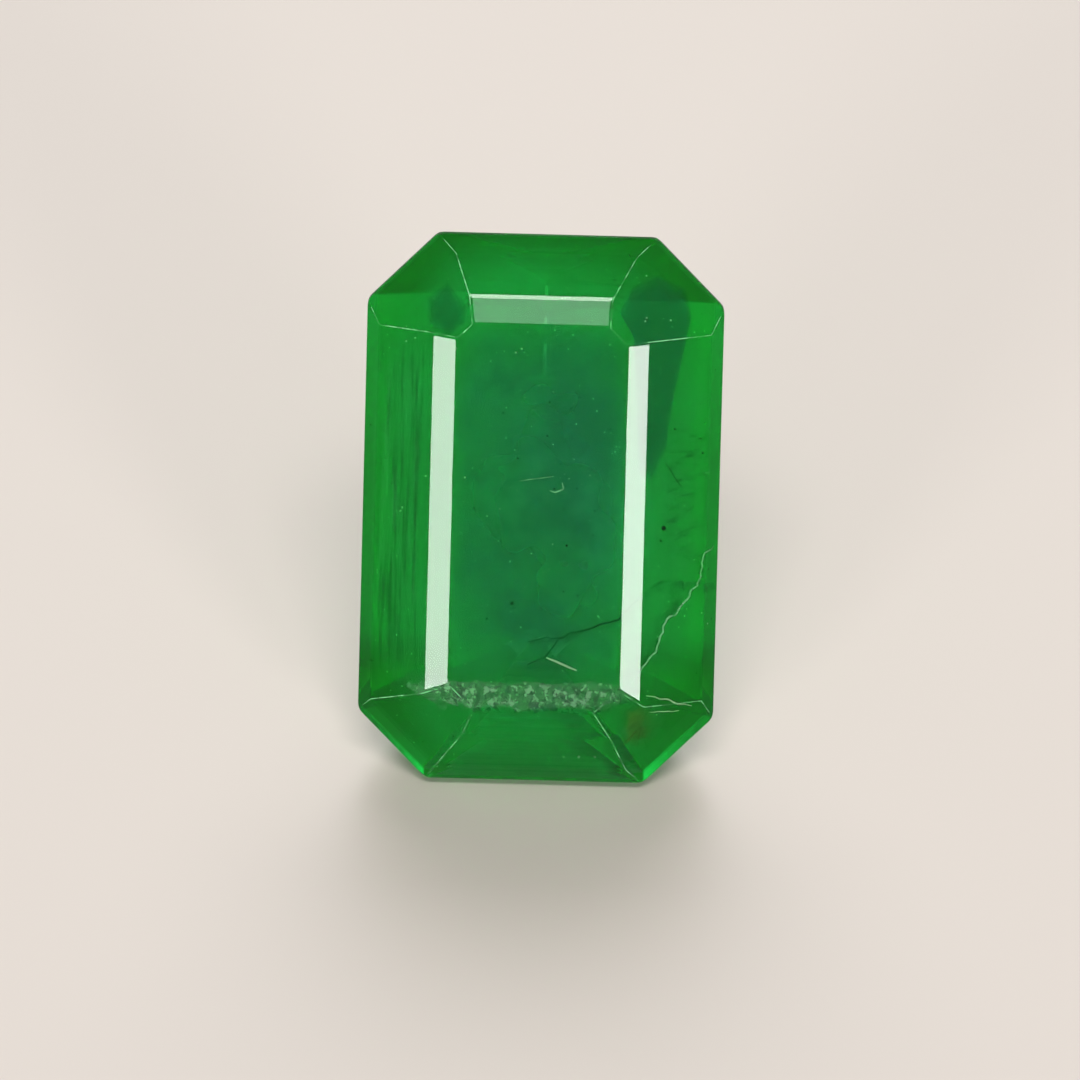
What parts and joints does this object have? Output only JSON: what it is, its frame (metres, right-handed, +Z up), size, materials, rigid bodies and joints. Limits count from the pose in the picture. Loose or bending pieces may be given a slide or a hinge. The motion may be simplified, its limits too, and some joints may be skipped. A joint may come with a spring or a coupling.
{
  "type": "faceted emerald gemstone",
  "caption": "Loose emerald cut as a long octagon with stepped facets, leaning back on its lower end so the table faces forward and up.",
  "frame": {"origin": "middle of the bounding box's footprint, on the surface that the stone lies on", "axes": "+Z up, square to the facet it lies on; -Y the way the table leans forward; +X to the stone's right as seen from the front"},
  "size_m": [0.008, 0.0094, 0.0108],
  "materials": {
    "emerald_crystal": "polished"
  },
  "bodies": {
    "root": {"emerald": "emerald_crystal"}
  },
  "joints": []
}
